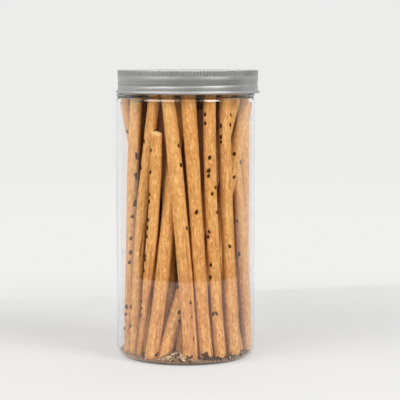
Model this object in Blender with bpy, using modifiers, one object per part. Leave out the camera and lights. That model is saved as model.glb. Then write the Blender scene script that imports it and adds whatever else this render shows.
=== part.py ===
# A clear straight-sided jar with a screwed-on metal lid, full of long baked rusk sticks with
# black sesame seeds. Metres, +Z up. The origin is the middle of the foot ring's resting plane,
# and -Y is the jar's front.
import math
import random

import bmesh
import bpy
import numpy as np
from mathutils import Matrix, Vector

MM = 0.001

# jar, in mm
BODY_RADIUS = 42.5
WALL = 0.8
CORNER_RADIUS = 6.0  # between the foot ring and the side
FOOT_RING_INSIDE = 33.0
PUSH_UP = 2.2  # how far the middle of the base stands clear of the table
SHOULDER_HEIGHT = 156.8
SHOULDER_RADIUS = 2.2
NECK_RADIUS = 39.8
BEAD_RADIUS = 42.3  # the ring just under the lid
BEAD_HEIGHT = 160.6
NECK_TOP = 174.8
THREAD_HEIGHT = 168.0
THREAD_DEPTH = 0.5
JAR_SHIFT = -0.5  # the jar and its filling, along X
JAR_STEPS = 46

# lid, in mm
HEIGHT = 176.0
LID_RADIUS = 43.0
LID_SHEET = 0.6
LID_EDGE_RADIUS = 1.3
LID_BOTTOM = 162.0
CURL_RADIUS = 44.1
LID_SHIFT = 0.9  # the lid sits a little to the right of the jar
LID_STEPS = 56

# sticks, in mm: (x, y) of the centre line at foot, middle and head; thickness with the share by
# which it gets thinner at the foot and at the head; sideways sway; top
SHOWN_STICKS = {
    "a": ((-6, -5), (-21, -4), (-36.8, -1), (7.4, 0, 0), 0, 157.5),
    "b": ((-34.6, -11.5), (-32.5, -17.5), (-29.4, -21.5), (7.0, 0.24, 0), 0, 158),
    "c": ((-31.1, -17), (-26.4, -24.8), (-17.8, -27), (7.1, 0.12, 0.06), 0, 165),
    "d": ((-28.1, -23.5), (-20.6, -30.6), (-16.9, -33), (6.9, 0.5, 0), 0, 139.5),
    "e": ((-20.4, -29.6), (-10.9, -30.4), (-3.2, -17.5), (8.3, 0, 0), 0.35, 162),
    "f": ((2.7, -36), (-2.9, -36), (-10.8, -32.6), (8.8, 0, 0.1), 0.3, 166),
    "g": ((12.4, -34.5), (6.4, -36), (1.5, -33.8), (7.5, 0, -0.19), 0, 167),
    "h": ((20.8, -31), (15.5, -33.6), (14.3, -31.6), (7.3, 0, 0), 0, 166),
    "i": ((28.8, -23.3), (24.5, -27.5), (23.4, -26.2), (7.9, 0.02, 0.13), 0, 167),
    "j": ((-12.9, -29), (8.8, -24), (29.5, -15.8), (8.5, 0, 0), 0, 163),
    "k": ((-0.5, -21), (19.6, -15), (36.4, -4.5), (8.7, 0, 0), 0, 157),
    "l": ((37.5, -5.8), (33.7, -3.4), (26.3, 0), (6.3, 0, 0), 0, 160),
    "m": ((36.2, 4.5), (35.8, 5), (35.6, 6.5), (7.4, 0, 0), 0, 157),
    "o": ((31.5, -14), (16.5, -5), (1.5, 4), (7.4, 0, 0), 0, 158),
}
# The sticks that the front doesn't show stand in arcs: radius, count, first and last angle from
# the front, then how they are built: with a seed, plain, or only as part of the core.
HIDDEN_ARCS = (
    (36.5, 11, 109, 250, "seeded"),
    (28.6, 11, 82, 285, "plain"),
    (20.6, 8, 100, 330, "core"),
    (12.6, 6, 0, 300, "core"),
    (2.0, 1, 200, 200, "core"),
)
STICK_FOOT = 4.4
STICK_THICKNESS = (7.7, 0.5)  # middle and spread
STICK_TOPS = (150.0, 168.0)
STICK_LEAN = 3.0
STICK_BOW = 0.8
STICK_WAVE = 0.15
WALL_GAP = 0.9
SETTLE_ROUNDS = 500
SETTLE_LEVELS = 26
CORE_RADIUS = 23.0
CORE_FRONT_RADIUS = 17.0  # shallower where deeper sticks show between those in front
CORE_FRONT = (-24.0, 92.0)  # the angles between which it is
CORE_TOP = 161.5
# the lower rings of the core, (radius, height): the bed of crumbs that the sticks stand in
CRUMB_BED = ((33.0, 3.25), (37.8, 2.3), (39.3, 4.6), (38.4, 6.0), (CORE_RADIUS, 6.1))

# black sesame seeds on the shown sticks, in mm: height, and how far right of the jar's middle
SHOWN_SEEDS = {
    "a": ((139, -34.5),),
    "b": ((126, -28.4), (124.2, -28.4), (114.1, -28.7), (112.3, -28.1), (97.4, -29.3), (95.7, -29.6),
          (88.5, -30.8), (75.1, -31.7), (66.5, -32), (60.3, -32.9), (32.6, -35.3), (27.8, -35.6), (18.9, -37)),
    "c": ((133.7, -24.5), (117.7, -26.3), (33.2, -32.6), (21.3, -33.5)),
    "d": ((129, -21.3), (115.9, -20.4), (102.8, -22.1), (98.6, -21.6), (87.3, -23.2), (82.6, -23.3),
          (77.2, -23.5), (65.6, -24.7), (63.2, -25.4), (56.4, -26.2), (37.7, -27.3), (33.8, -27.5), (29, -27.8)),
    "e": ((6.9, -16.5),),
    "f": ((131.6, -3.6), (120, -2), (82.6, 1), (38.5, 2.9), (29.9, 4.1), (16.5, 4.7)),
    "g": ((92.7, 6.2),),
    "h": ((150.1, 11), (145, 11), (124.8, 13.7), (117.1, 13.1), (114.1, 13.1), (107, 17.4), (103.4, 15.2),
          (92.1, 18.5), (80.8, 13.4), (77.8, 12.5), (60.9, 14.3), (53.4, 13.7), (31.4, 15.8), (31.7, 17.6)),
    "i": ((143.3, 19.9), (136.7, 19.6), (133.7, 19.9), (149.8, 26.6), (143.8, 26.1), (71.3, 25.3)),
    "j": ((45.1, -5.4), (31.7, -3.6), (26.7, -3.6)),
    "k": ((124.8, 27.9), (121.2, 33), (111.7, 28.2)),
    "l": ((111.1, 29.5), (83.8, 29), (63.5, 30.7)),
}
SEEDS_PER_HIDDEN_STICK = 1
SEED_SIZE = (2.6, 1.7, 0.9)
SEED_SUNK = 0.1


def remove_everything():
    for obj in list(bpy.data.objects):
        bpy.data.objects.remove(obj, do_unlink=True)


def new_collection(name):
    collection = bpy.data.collections.new(name)
    bpy.context.scene.collection.children.link(collection)
    return collection


def plain_material(name, colour, roughness, metallic=0.0, alpha=1.0):
    material = bpy.data.materials.new(name)
    material.use_nodes = True
    shader = material.node_tree.nodes["Principled BSDF"]
    shader.inputs["Base Color"].default_value = (*colour, 1.0)
    shader.inputs["Roughness"].default_value = roughness
    shader.inputs["Metallic"].default_value = metallic
    shader.inputs["Alpha"].default_value = alpha
    return material


def arc(centre_r, centre_z, radius, start, end, count):
    """Points (r, z) on an arc, with angles in degrees from +r towards +z."""
    angles = [math.radians(start + (end - start) * k / (count - 1)) for k in range(count)]
    return [(centre_r + radius * math.cos(a), centre_z + radius * math.sin(a)) for a in angles]


def turned(name, outline, steps, collection, material):
    """A solid of revolution: the outline (r, z) in mm, screwed once round Z."""
    mesh = bpy.data.meshes.new(name)
    points = [(r * MM, 0.0, z * MM) for r, z in outline]
    mesh.from_pydata(points, [(k, k + 1) for k in range(len(points) - 1)], [])
    obj = bpy.data.objects.new(name, mesh)
    collection.objects.link(obj)
    screw = obj.modifiers.new("turn", "SCREW")
    screw.steps = steps
    screw.render_steps = steps
    screw.use_merge_vertices = True
    screw.merge_threshold = 1e-6
    screw.use_smooth_shade = True
    mesh.materials.append(material)
    return obj


def build_jar(collection):
    """Inner side upwards, rim, then outer side downwards, from axis to axis."""
    foot_outside = BODY_RADIUS - CORNER_RADIUS
    shoulder_top = SHOULDER_HEIGHT + SHOULDER_RADIUS
    inside = [(0.0, PUSH_UP + WALL), (FOOT_RING_INSIDE - 3.0, PUSH_UP + WALL - 0.5), (foot_outside - 2.5, WALL)]
    inside += arc(foot_outside, CORNER_RADIUS, CORNER_RADIUS - WALL, -90, 0, 5)
    inside += arc(BODY_RADIUS - WALL - SHOULDER_RADIUS, SHOULDER_HEIGHT, SHOULDER_RADIUS, 0, 65, 4)
    inside += [(NECK_RADIUS - WALL, shoulder_top)]
    rim = [(NECK_RADIUS - WALL, NECK_TOP - 0.2), (NECK_RADIUS - WALL + 0.2, NECK_TOP),
           (NECK_RADIUS - 0.2, NECK_TOP), (NECK_RADIUS, NECK_TOP - 0.2)]
    thread = [(NECK_RADIUS, THREAD_HEIGHT + 1.2), (NECK_RADIUS + THREAD_DEPTH, THREAD_HEIGHT + 0.3),
              (NECK_RADIUS + THREAD_DEPTH, THREAD_HEIGHT - 0.3), (NECK_RADIUS, THREAD_HEIGHT - 1.2)]
    outside = [(NECK_RADIUS, BEAD_HEIGHT + 1.1), (BEAD_RADIUS - 0.3, BEAD_HEIGHT + 0.8),
               (BEAD_RADIUS, BEAD_HEIGHT + 0.4), (BEAD_RADIUS, BEAD_HEIGHT - 0.4),
               (BEAD_RADIUS - 0.3, BEAD_HEIGHT - 0.8), (BODY_RADIUS - 1.4, BEAD_HEIGHT - 1.4)]
    outside += arc(BODY_RADIUS - SHOULDER_RADIUS, SHOULDER_HEIGHT, SHOULDER_RADIUS, 60, 0, 4)
    outside += arc(foot_outside, CORNER_RADIUS, CORNER_RADIUS, 0, -90, 5)
    outside += [(FOOT_RING_INSIDE, 0.0), (FOOT_RING_INSIDE - 2.5, PUSH_UP - 0.6), (0.0, PUSH_UP)]
    clear = plain_material("clear_plastic", (0.95, 0.97, 0.97), 0.05, alpha=0.25)
    jar = turned("jar", inside + rim + thread + outside, JAR_STEPS, collection, clear)
    jar.location.x = JAR_SHIFT * MM
    return jar


def build_lid(collection):
    """The outside from the axis outwards and down, the rolled curl, then the inside upwards."""
    outside = [(0.0, HEIGHT)]
    outside += arc(LID_RADIUS - LID_EDGE_RADIUS, HEIGHT - LID_EDGE_RADIUS, LID_EDGE_RADIUS, 90, 0, 4)
    outside += [(LID_RADIUS, 172.9), (LID_RADIUS - 0.3, 172.5), (LID_RADIUS, 172.1), (LID_RADIUS, 169.3)]
    outside += [(LID_RADIUS - 0.5, 168.5), (LID_RADIUS - 0.5, 167.5), (LID_RADIUS, 166.7)]
    outside += [(LID_RADIUS, 164.9), (LID_RADIUS - 0.35, 164.2), (LID_RADIUS, 163.7)]
    curl = arc(CURL_RADIUS - 0.9, LID_BOTTOM + 0.9, 0.9, 45, -90, 4)
    inner = LID_RADIUS - LID_SHEET - 0.5
    inside = [(inner + 0.3, LID_BOTTOM), (inner, LID_BOTTOM + 0.5), (inner, 174.5)]
    inside += [(inner - 0.9, HEIGHT - LID_SHEET), (0.0, HEIGHT - LID_SHEET)]
    metal = plain_material("satin_aluminium", (0.36, 0.37, 0.37), 0.38, metallic=1.0)
    lid = turned("lid", outside + curl + inside, LID_STEPS, collection, metal)
    lid.location.x = LID_SHIFT * MM
    return lid


def inner_radius(height):
    """Inside radius of the jar at a height, in mm."""
    corner = CORNER_RADIUS - WALL
    rise = np.clip(corner + WALL - height, 0, corner)
    low = BODY_RADIUS - CORNER_RADIUS + np.sqrt(corner**2 - rise**2)
    narrowing = np.clip((height - SHOULDER_HEIGHT) / SHOULDER_RADIUS, 0, 1)
    return np.minimum(low, BODY_RADIUS - WALL - (BODY_RADIUS - NECK_RADIUS) * narrowing)


def lay_out_sticks():
    """Foot, middle and head of every stick's centre line, with its thickness, low end and top."""
    draw = random.Random(11)

    def scattered(spread):
        return np.array((draw.uniform(-spread, spread), draw.uniform(-spread, spread)))

    sticks = []
    for name, (foot, middle, head, (thickness, *thinner), sway, top) in SHOWN_STICKS.items():
        ends = [np.array(point, float) for point in (foot, middle, head)]
        sticks.append({"name": name, "points": ends, "thick": thickness, "thinner": thinner, "sway": sway,
                       "low": STICK_FOOT, "top": top, "kind": "shown", "shown": True})
    for radius, count, first, last, kind in HIDDEN_ARCS:
        for k in range(count):
            angle = math.radians(first + (last - first) * k / max(count - 1, 1) + draw.uniform(-4, 4))
            place = radius * np.array((math.sin(angle), -math.cos(angle)))
            foot, head = place + scattered(STICK_LEAN), place + scattered(STICK_LEAN)
            middle = (foot + head) / 2 + scattered(STICK_BOW)
            sticks.append({"name": "", "points": [foot, middle, head],
                           "thick": min(8.8, max(6.6, draw.gauss(*STICK_THICKNESS))),
                           "thinner": (0, 0), "sway": 0,
                           "low": STICK_FOOT + draw.uniform(-0.6, 0.8),
                           "top": draw.uniform(*STICK_TOPS), "kind": kind, "shown": False})
    for stick in sticks:
        stick["phases"] = [draw.uniform(0, 2 * math.pi) for _ in range(4)]
    return sticks


def settle(sticks):
    """Moves the hidden sticks' ends until none presses into another, into the wall, or out into
    the two slivers of empty jar that the photo shows at the left and right. At each of several
    heights every pair that is too close is pushed apart, and each push moves foot and head by
    the share that the height gives them. The shown sticks stay."""
    foot = np.array([s["points"][0] for s in sticks])
    head = np.array([s["points"][2] for s in sticks])
    bow = np.array([s["points"][1] for s in sticks]) - (foot + head) / 2
    radius = np.array([s["thick"] for s in sticks]) / 2
    low = np.array([s["low"] for s in sticks])
    top = np.array([s["top"] for s in sticks])
    fixed = np.array([s["shown"] for s in sticks])
    height = np.linspace(STICK_FOOT, STICK_TOPS[1], SETTLE_LEVELS)
    up = (height - low[:, None]) / (top - low)[:, None]
    there = (up >= -0.02) & (up <= 1.02)
    up = up[..., None]
    rim = inner_radius(height) - WALL_GAP - radius[:, None]
    left, right = -31.2 - 0.03 * (130 - height), 35.2
    weight = np.where(fixed, 1e-6, 1.0)
    share = (weight[:, None] / (weight[:, None] + weight))[..., None]
    pairs = there[:, None] & there & ~np.eye(len(sticks), dtype=bool)[..., None]
    reach = (radius[:, None] + radius + 0.1)[..., None]
    foot_part, head_part = (1 - up) * there[..., None], up * there[..., None]
    for _ in range(SETTLE_ROUNDS):
        at = foot[:, None] * (1 - up) + head[:, None] * up + 4 * bow[:, None] * up * (1 - up)
        apart = at[:, None] - at
        distance = np.linalg.norm(apart, axis=-1) + 1e-9
        pressed = np.where(pairs, np.clip(reach - distance, 0, None), 0)
        push = (apart * (pressed * share / distance)[..., None]).sum(1)
        from_axis = np.linalg.norm(at, axis=-1) + 1e-9
        push -= at * (np.where(there, np.clip(from_axis - rim, 0, None), 0) / from_axis)[..., None]
        side = np.clip(left - at[..., 0], 0, None) - np.clip(at[..., 0] - right, 0, None)
        push[..., 0] += np.where(there, side, 0)
        push[fixed] = 0
        foot += 0.8 * (push * foot_part).sum(1) / foot_part.sum(1)
        head += 0.8 * (push * head_part).sum(1) / head_part.sum(1)
    for stick, start, bend, end in zip(sticks, foot, bow, head):
        stick["points"] = [start, (start + end) / 2 + bend, end]


def centre_line(stick, up):
    """(x, y, z) in mm at a share of the way up: a parabola through the three points, with a
    slight wave across."""
    foot, middle, head = stick["points"]
    p = stick["phases"]
    bend = middle - (foot + head) / 2
    x, y = foot * (1 - up) + head * up + 4 * bend * up * (1 - up)
    x += STICK_WAVE * math.sin(9 * up + p[0]) + stick["sway"] * math.sin(2 * math.pi * up)
    y += STICK_WAVE * math.sin(8 * up + p[1])
    return Vector((x, y, stick["low"] + (stick["top"] - stick["low"]) * up))


def stick_radius(stick, up):
    p = stick["phases"]
    thin_foot, thin_head = stick["thinner"]
    waves = 0.018 * math.sin(7 * up + p[2]) + 0.012 * math.sin(17 * up + p[3])
    return stick["thick"] / 2 * (1 + waves - thin_foot * (1 - up) ** 2 - thin_head * up**2)


def stick_mesh_object(stick, collection):
    """An eight-sided tube along the centre line, its ends drawn in by a short chamfer."""
    length = stick["top"] - stick["low"]
    chamfer = 1.2 / length
    ups = [0, chamfer, 0.17, 0.34, 0.5, 0.66, 0.83, 1 - chamfer, 1]
    if stick["kind"] == "plain":
        ups = [0, 0.25, 0.5, 0.75, 1]
    curve = bpy.data.curves.new("stick", "CURVE")
    curve.dimensions = "3D"
    curve.bevel_depth = MM
    curve.bevel_resolution = 2
    curve.use_fill_caps = True
    line = curve.splines.new("POLY")
    line.points.add(len(ups) - 1)
    for point, up in zip(line.points, ups):
        point.co = (*(centre_line(stick, up) * MM), 1.0)
        point.radius = stick_radius(stick, up) * (0.78 if up in (0, 1) else 1.0)
    guide = bpy.data.objects.new("stick", curve)
    collection.objects.link(guide)
    bpy.context.view_layer.update()
    mesh = bpy.data.meshes.new_from_object(guide.evaluated_get(bpy.context.evaluated_depsgraph_get()))
    bm = bmesh.new()
    bm.from_mesh(mesh)
    bmesh.ops.remove_doubles(bm, verts=bm.verts, dist=1e-6)
    bm.to_mesh(mesh)
    bm.free()
    obj = bpy.data.objects.new("stick_solid", mesh)
    obj.matrix_world = guide.matrix_world
    bpy.data.objects.remove(guide, do_unlink=True)
    collection.objects.link(obj)
    return obj


def seed_object(stick, height, across, turn, collection):
    """A flat ellipsoid, half sunk in the stick's outer side, its length about along the stick."""
    up = (height - stick["low"]) / (stick["top"] - stick["low"])
    centre = centre_line(stick, up)
    radius = stick_radius(stick, up)
    outwards = Vector((centre.x, centre.y, 0)).normalized()
    if stick["shown"]:
        across -= centre.x
        outwards = Vector((0.35 * outwards.x, -1, 0)).normalized()
    sideways = Vector((-outwards.y, outwards.x, 0))
    slide = max(-0.95, min(0.95, across / radius))
    normal = outwards * math.sqrt(1 - slide**2) + sideways * slide
    along = (centre_line(stick, min(up + 0.02, 1)) - centre_line(stick, max(up - 0.02, 0))).normalized()
    along = (along - normal * along.dot(normal)).normalized()
    axes = Matrix((along, normal.cross(along), normal)).transposed()
    place = (centre + normal * (radius - SEED_SUNK)) * MM
    bm = bmesh.new()
    bmesh.ops.create_uvsphere(bm, u_segments=6, v_segments=3, radius=0.5 * MM)
    bmesh.ops.scale(bm, vec=SEED_SIZE, verts=bm.verts)
    bmesh.ops.rotate(bm, matrix=Matrix.Rotation(turn, 3, "Z"), verts=bm.verts)
    bmesh.ops.rotate(bm, matrix=axes, verts=bm.verts)
    bmesh.ops.translate(bm, vec=place, verts=bm.verts)
    mesh = bpy.data.meshes.new("seed")
    bm.to_mesh(mesh)
    bm.free()
    obj = bpy.data.objects.new("seed", mesh)
    collection.objects.link(obj)
    return obj


def core_object(collection):
    """A cylinder on a low bed of crumbs, drawn in where the front shows deeper sticks."""
    steps = 36
    rings = [*CRUMB_BED, (CORE_RADIUS, CORE_TOP)]
    points = []
    for radius, height in rings:
        for k in range(steps):
            angle = 2 * math.pi * (k - steps // 2) / steps
            drawn_in = radius == CORE_RADIUS and CORE_FRONT[0] < math.degrees(angle) < CORE_FRONT[1]
            reach = CORE_FRONT_RADIUS if drawn_in else radius
            points.append((reach * math.sin(angle) * MM, -reach * math.cos(angle) * MM, height * MM))
    faces = [list(range(steps))[::-1], list(range(steps * (len(rings) - 1), steps * len(rings)))]
    for ring in range(len(rings) - 1):
        for k in range(steps):
            low, beside = ring * steps + k, ring * steps + (k + 1) % steps
            faces.append([low, beside, beside + steps, low + steps])
    mesh = bpy.data.meshes.new("rusk_sticks")
    mesh.from_pydata(points, [], faces)
    core = bpy.data.objects.new("rusk_sticks", mesh)
    collection.objects.link(core)
    return core


def build_rusk_sticks(collection):
    """The heap as one body: a core and a bed of crumbs, with the two outer layers' sticks and the
    outer one's seeds fused on."""
    sticks = lay_out_sticks()
    settle(sticks)
    pieces = new_collection("fused_pieces")
    draw = random.Random(23)
    for stick in sticks:
        if stick["kind"] == "core":
            continue
        stick_mesh_object(stick, pieces)
        seeds = SHOWN_SEEDS.get(stick["name"], ())
        if stick["kind"] == "seeded":
            seeds = [(draw.uniform(20, 140), draw.uniform(-2.5, 2.5)) for _ in range(SEEDS_PER_HIDDEN_STICK)]
        for height, across in seeds:
            seed_object(stick, height, across, draw.uniform(-0.6, 0.6), pieces)
    heap = core_object(collection)
    union = heap.modifiers.new("fuse", "BOOLEAN")
    union.operation = "UNION"
    union.operand_type = "COLLECTION"
    union.collection = pieces
    union.solver = "EXACT"
    bpy.context.view_layer.objects.active = heap
    bpy.ops.object.modifier_apply(modifier=union.name)
    for obj in list(pieces.objects):
        bpy.data.objects.remove(obj, do_unlink=True)
    bpy.data.collections.remove(pieces)
    heap.location.x = JAR_SHIFT * MM
    heap.data.materials.clear()
    heap.data.materials.append(plain_material("baked_rusk", (0.66, 0.38, 0.13), 0.8))
    return heap


def main():
    remove_everything()
    collection = new_collection("rusk_stick_jar")
    build_jar(collection)
    build_lid(collection)
    build_rusk_sticks(collection)


main()
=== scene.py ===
import math
import random

import bpy
import numpy as np
from mathutils import Matrix


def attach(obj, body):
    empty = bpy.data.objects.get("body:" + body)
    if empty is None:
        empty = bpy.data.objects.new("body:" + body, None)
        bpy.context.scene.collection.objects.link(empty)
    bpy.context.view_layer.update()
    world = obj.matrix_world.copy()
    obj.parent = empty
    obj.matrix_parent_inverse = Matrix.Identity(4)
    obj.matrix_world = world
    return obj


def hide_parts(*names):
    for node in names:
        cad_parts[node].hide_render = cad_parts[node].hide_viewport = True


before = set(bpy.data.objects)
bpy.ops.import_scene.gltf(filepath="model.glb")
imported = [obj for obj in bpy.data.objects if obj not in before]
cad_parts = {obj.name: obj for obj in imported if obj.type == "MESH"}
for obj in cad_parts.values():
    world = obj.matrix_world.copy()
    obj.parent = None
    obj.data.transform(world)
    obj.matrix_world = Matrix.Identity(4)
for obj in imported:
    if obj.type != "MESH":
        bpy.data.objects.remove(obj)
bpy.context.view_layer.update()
mm = 0.001


# 0 up to 0, 1 from 1 on, and between them three times the square less twice the cube.
def smoothStep(value):
    value = np.clip(value, 0, 1)
    return value * value * (3 - 2 * value)


# Vectors brought to length 1.
def unit(vectors):
    return vectors / np.linalg.norm(vectors, axis=-1, keepdims=True)


# Angles evenly round a circle.
def ringAngles(count):
    return np.linspace(0, 2 * np.pi, count, endpoint=False)


# Points of an outline turned round the z axis: (r cos t, r sin t, z).
def turned(radius, height, turn):
    return np.stack([radius * np.cos(turn), radius * np.sin(turn), height + 0 * radius + 0 * turn], -1)


# Latitudes and longitudes of a ball's rings, without its poles.
def ballGrid(rows, columns):
    latitudes = np.linspace(-np.pi / 2, np.pi / 2, rows + 2)[1:-1]
    return latitudes[None, :, None], ringAngles(columns)[None, None, :]


# Tubes from a grid of points (tube, row, column, 3), whose columns run round anticlockwise seen
# from the last row. A fan round a pole point shuts each end.
def tubeMesh(name, points, poles, material, attributes=None):
    tubes, rows, columns = points.shape[:3]
    each = rows * columns + 2
    start = (np.arange(tubes) * each)[:, None, None]
    row = np.arange(rows - 1)[None, :, None] * columns
    here = np.arange(columns)[None, None, :]
    beside = (here + 1) % columns
    quads = np.stack([start + row + here, start + row + beside,
                      start + row + columns + beside, start + row + columns + here], -1).reshape(-1, 4)
    start, here, beside = start[:, 0], here[0], beside[0]
    last = (rows - 1) * columns
    foot = np.stack([start + each - 2 + 0 * here, start + beside, start + here], -1)
    head = np.stack([start + each - 1 + 0 * here, start + last + here, start + last + beside], -1)
    corners = np.concatenate([quads.ravel(), foot.ravel(), head.ravel()])
    sides = np.concatenate([np.full(len(quads), 4), np.full(2 * tubes * columns, 3)])
    vertices = np.concatenate([points.reshape(tubes, -1, 3), poles], 1).reshape(-1, 3) * mm
    mesh = bpy.data.meshes.new(name)
    mesh.vertices.add(len(vertices))
    mesh.vertices.foreach_set("co", vertices.ravel())
    mesh.loops.add(len(corners))
    mesh.loops.foreach_set("vertex_index", corners)
    mesh.polygons.add(len(sides))
    mesh.polygons.foreach_set("loop_start", np.concatenate([[0], np.cumsum(sides)[:-1]]))
    mesh.update(calc_edges=True)
    mesh.polygons.foreach_set("use_smooth", np.ones(len(sides), bool))
    for title, (grid, ends) in (attributes or {}).items():
        flat = np.concatenate([grid.reshape(tubes, rows * columns, -1), ends.reshape(tubes, 2, -1)], 1)
        vector = flat.shape[-1] == 3
        made = mesh.attributes.new(title, "FLOAT_VECTOR" if vector else "FLOAT", "POINT")
        made.data.foreach_set("vector" if vector else "value", flat.ravel().astype(np.float32))
    mesh.materials.append(material)
    print(name, len(vertices), "points,", len(sides), "faces")
    return newObject(name, mesh)


# Smooth random hills: a table's numbers joined by smooth steps, along and, as a ring, around.
def hills(table, which, along, around):
    along = np.clip(along, 0, 0.99999) * (table.shape[1] - 1)
    around = (around % 1) * table.shape[2]
    i, j = along.astype(int), around.astype(int)
    j = j % table.shape[2]
    s, t = smoothStep(along - i), smoothStep(around - j)
    k = (j + 1) % table.shape[2]
    low = table[which, i, j] * (1 - t) + table[which, i, k] * t
    high = table[which, i + 1, j] * (1 - t) + table[which, i + 1, k] * t
    return low * (1 - s) + high * s


# An arc's points (r, z) about a centre, with angles in degrees from +r towards +z.
def arc(centreR, centreZ, radius, start, end, count):
    angle = np.radians(np.linspace(start, end, count))
    return np.stack([centreR + radius * np.cos(angle), centreZ + radius * np.sin(angle)], 1)


# A shader socket that can stand in sums. An operator adds its Math node, and node() any other.
class Wire:
    def __init__(self, tree, socket=None):
        self.tree = tree
        self.socket = socket

    def node(self, kind, settings=None, inputs=None, output=0):
        made = self.tree.nodes.new(kind)
        for key, value in (settings or {}).items():
            setattr(made, key, value)
        for key, value in (inputs or {}).items():
            if isinstance(value, Wire):
                self.tree.links.new(value.socket, made.inputs[key])
            else:
                socket = made.inputs[key]
                socket.default_value = (*value, 1) if socket.type == "RGBA" else value
        return None if output is None else Wire(self.tree, made.outputs[output])

    def maths(self, operation, *values):
        return self.node("ShaderNodeMath", {"operation": operation}, dict(enumerate(values)))

    def __add__(self, other):
        return self.maths("ADD", self, other)

    def __sub__(self, other):
        return self.maths("SUBTRACT", self, other)

    def __rsub__(self, other):
        return self.maths("SUBTRACT", other, self)

    def __mul__(self, other):
        return self.maths("MULTIPLY", self, other)

    __radd__ = __add__
    __rmul__ = __mul__

    # 0 below the first value, 1 above the second, with a smooth step between
    def between(self, low, high):
        return self.node("ShaderNodeMapRange", {"interpolation_type": "SMOOTHSTEP"},
                         {"Value": self, "From Min": low, "From Max": high})

    # this wire as the share of the second colour
    def blend(self, first, second):
        return self.node("ShaderNodeMix", {"data_type": "RGBA"}, {0: self, 6: first, 7: second}, 2)

    # one coordinate of this wire: 0, 1 or 2 for x, y or z
    def along(self, axis):
        return self.node("ShaderNodeSeparateXYZ", {}, {0: self}, axis)

    # this wire times a factor for x and y and another for z
    def stretched(self, level, upright):
        return self.node("ShaderNodeVectorMath", {"operation": "MULTIPLY"},
                         {0: self, 1: (level, level, upright)})

    # noise on this wire as coordinates; scale is in waves a metre
    def noise(self, scale, detail=2.0, roughness=0.5):
        return self.node("ShaderNodeTexNoise", {},
                         {"Vector": self, "Scale": scale, "Detail": detail, "Roughness": roughness})

    def cells(self, scale):
        return self.node("ShaderNodeTexVoronoi", {}, {"Vector": self, "Scale": scale})

    def bump(self, strength, distance):
        return self.node("ShaderNodeBump", {}, {"Height": self, "Strength": strength, "Distance": distance})

    # Object coordinates
    def place(self):
        return self.node("ShaderNodeTexCoord", {}, {}, 3)

    # a mesh attribute: output 1 is its vector, 2 its number
    def attribute(self, name, output=2):
        return self.node("ShaderNodeAttribute", {"attribute_name": name}, {}, output)

    def principled(self, colour, roughness, normal, more=None):
        return self.node("ShaderNodeBsdfPrincipled", {}, {
            "Base Color": colour, "Roughness": roughness, "Normal": normal, **(more or {})})

    def mixShader(self, first, second):
        return self.node("ShaderNodeMixShader", {}, {0: self, 1: first, 2: second})


# A material's or a world's nodes, switched on and cleared.
def emptyTree(owner):
    owner.use_nodes = True
    owner.node_tree.nodes.clear()
    return Wire(owner.node_tree)


# A material whose surface is the shader that a function makes from an empty tree.
def newMaterial(name, makeShader):
    material = bpy.data.materials.new(name)
    wire = emptyTree(material)
    wire.node("ShaderNodeOutputMaterial", {}, {"Surface": makeShader(wire)}, None)
    return material


# An object at the origin, in the scene.
def newObject(name, data):
    made = bpy.data.objects.new(name, data)
    bpy.context.scene.collection.objects.link(made)
    return made


# The sticks that the front shows: x and y of the centre line at foot, middle and head; thickness
# and its share of thinning at foot and head; sideways sway; the foot's height, some deeper in the
# crumbs, and the top's; tone, 0 yellow and 1 orange.
frontSticks = {
    "a": ((-6, -5), (-21, -4), (-36.8, -1), 7.4, 0, 0, 0, 4.4, 157.5, 0.31),
    "b": ((-34.6, -11.5), (-32.5, -17.5), (-29.4, -21.5), 7.0, 0.24, 0, 0, 3.5, 158, 0.25),
    "c": ((-31.1, -17), (-26.4, -24.8), (-17.8, -27), 7.1, 0.12, 0.06, 0, 3.3, 165, 0.1),
    "d": ((-28.1, -23.5), (-20.6, -30.6), (-16.9, -33), 6.9, 0.5, 0, 0, 3.4, 139.5, 0.4),
    "e": ((-20.4, -29.6), (-10.9, -30.4), (-3.2, -17.5), 8.3, 0, 0, 0.35, 4.0, 162, 0.33),
    "f": ((2.7, -36), (-2.9, -36), (-10.8, -32.6), 8.8, 0, 0.1, 0.3, 4.1, 166, 0.2),
    "g": ((12.4, -34.5), (6.4, -36), (1.5, -33.8), 7.5, 0, -0.19, 0, 4.4, 167, 0.75),
    "h": ((20.8, -31), (15.5, -33.6), (14.3, -31.6), 7.3, 0, 0, 0, 4.1, 166, 0.6),
    "i": ((28.8, -23.3), (24.5, -27.5), (23.4, -26.2), 7.9, 0.02, 0.13, 0, 4.1, 167, 0.26),
    "j": ((-12.9, -29), (8.8, -24), (29.5, -15.8), 8.5, 0, 0, 0, 4.4, 163, 0),
    "k": ((-0.5, -21), (19.6, -15), (36.4, -4.5), 8.7, 0, 0, 0, 4.4, 157, 0.26),
    "l": ((37.5, -5.8), (33.7, -3.4), (26.3, 0), 6.3, 0, 0, 0, 3.6, 160, 0.2),
    "m": ((36.2, 4.5), (35.8, 5), (35.6, 6.5), 7.4, 0, 0, 0, 4.4, 157, 0.26),
    "o": ((31.5, -14), (16.5, -5), (1.5, 4), 7.4, 0, 0, 0, 4.4, 158, 0.26),
}

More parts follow.
